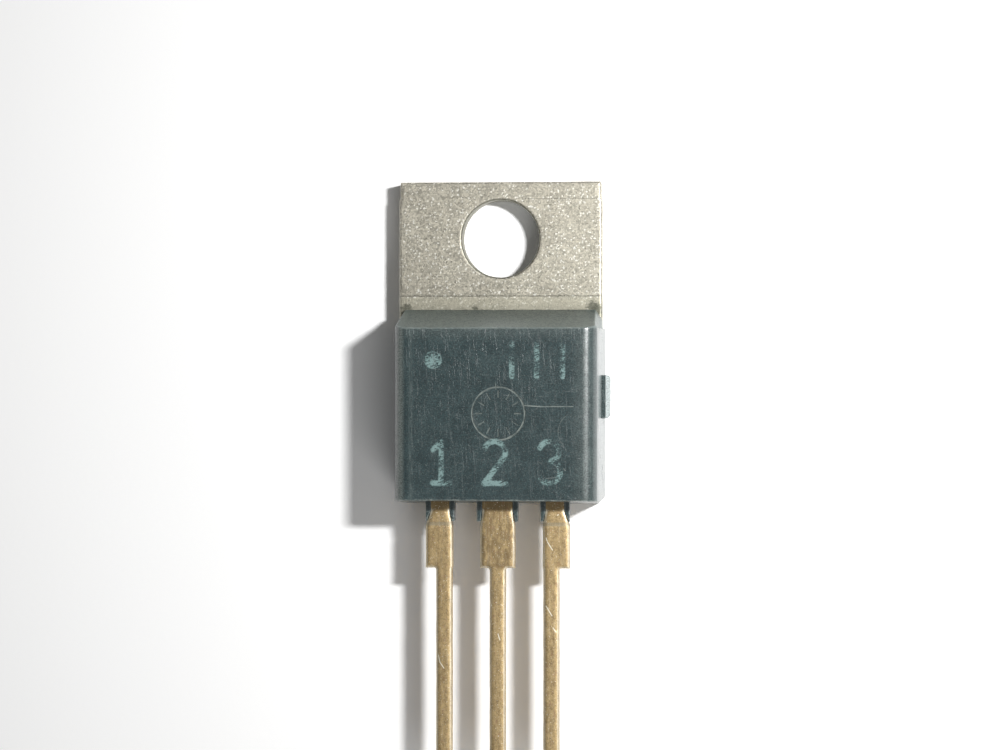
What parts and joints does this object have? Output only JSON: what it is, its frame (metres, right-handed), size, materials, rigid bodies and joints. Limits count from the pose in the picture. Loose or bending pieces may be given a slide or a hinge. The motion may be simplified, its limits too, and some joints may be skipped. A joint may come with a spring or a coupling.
{
  "type": "power transistor",
  "caption": "Three-lead power transistor: moulded plastic body on a bolt-down metal tab with a mounting hole, straight flat leads.",
  "frame": {"origin": "centre of the mounting hole on the mounting face, the back of the tab", "axes": "+Z out of the front face along the mounting hole, +Y towards the top edge of the tab, leads to -Y, +X to the right seen from the front"},
  "size_m": [0.0103, 0.0286, 0.0044],
  "materials": {
    "tab_plating": "dull nickel plate on copper, grainy",
    "moulding_compound": "semi-gloss epoxy, dark slate",
    "lead_alloy": "tarnished, mottled",
    "silicon": "polished chip",
    "solder": "dull soft solder",
    "bond_wire": "drawn wire"
  },
  "bodies": {
    "root": {"heat_sink_tab": "tab_plating", "moulded_body": "moulding_compound", "base_lead": "lead_alloy", "collector_lead": "lead_alloy", "emitter_lead": "lead_alloy", "silicon_die": "silicon", "die_solder": "solder", "collector_solder": "solder", "base_bond_wire": "bond_wire", "emitter_bond_wire": "bond_wire"}
  },
  "joints": []
}
